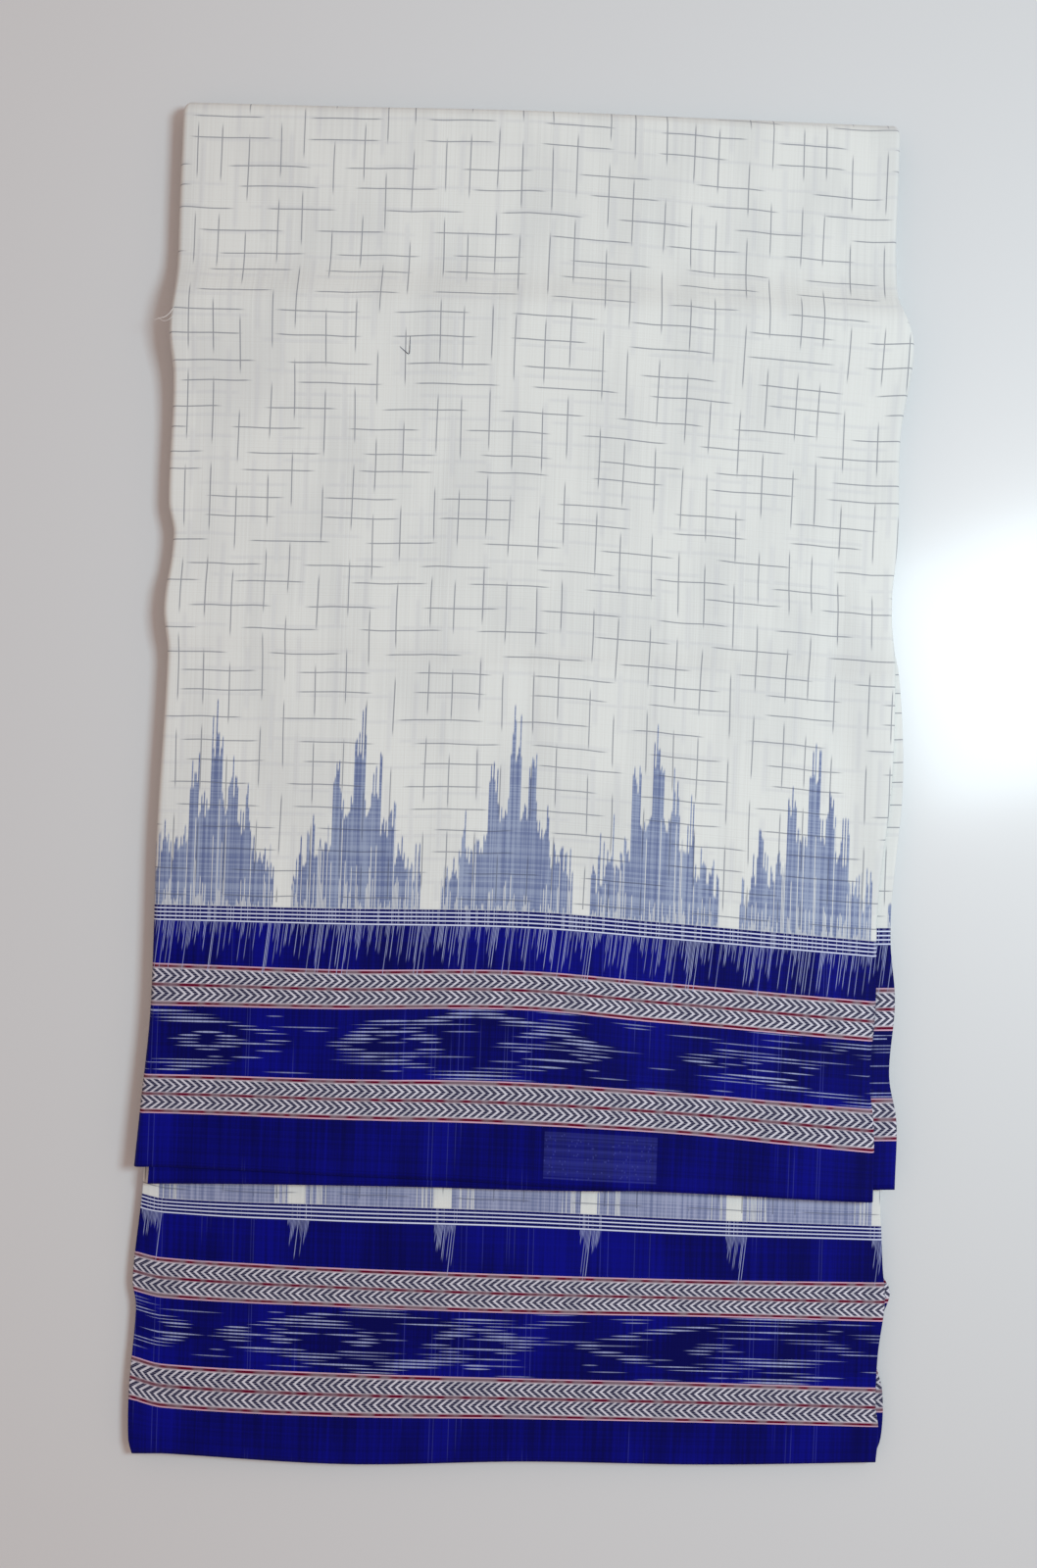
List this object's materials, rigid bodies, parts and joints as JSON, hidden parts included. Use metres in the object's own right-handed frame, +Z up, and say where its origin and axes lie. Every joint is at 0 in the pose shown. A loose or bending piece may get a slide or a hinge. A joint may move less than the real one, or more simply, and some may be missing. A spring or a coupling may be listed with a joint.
{
  "type": "folded saree",
  "caption": "Handloom cotton saree folded flat into a long rectangle, with both woven borders showing, one below the other, on the folded stack.",
  "frame": {"origin": "centre of the bounding box, on the surface that the folded saree lies on", "axes": "+X towards the open folded side, +Y towards the cross fold at the head, +Z up out of the stack"},
  "size_m": [0.3696, 0.645, 0.0224],
  "materials": {
    "face_cotton": "plain-woven off-white cotton with broken navy lines, and a deep blue ikat border",
    "border_cotton": "plain-woven deep blue cotton border with ikat figures, chevron bands and dark red lines",
    "inner_cotton": "the same cotton where a ply shows only at an edge",
    "hidden_cotton": "the same cotton, seen only as the edges of folded plies"
  },
  "bodies": {
    "root": {"outer_stretch": "face_cotton", "upper_second_stretch": "inner_cotton", "lower_face_stretch": "border_cotton", "lower_second_stretch": "inner_cotton", "hidden_layers": "hidden_cotton"}
  },
  "joints": []
}
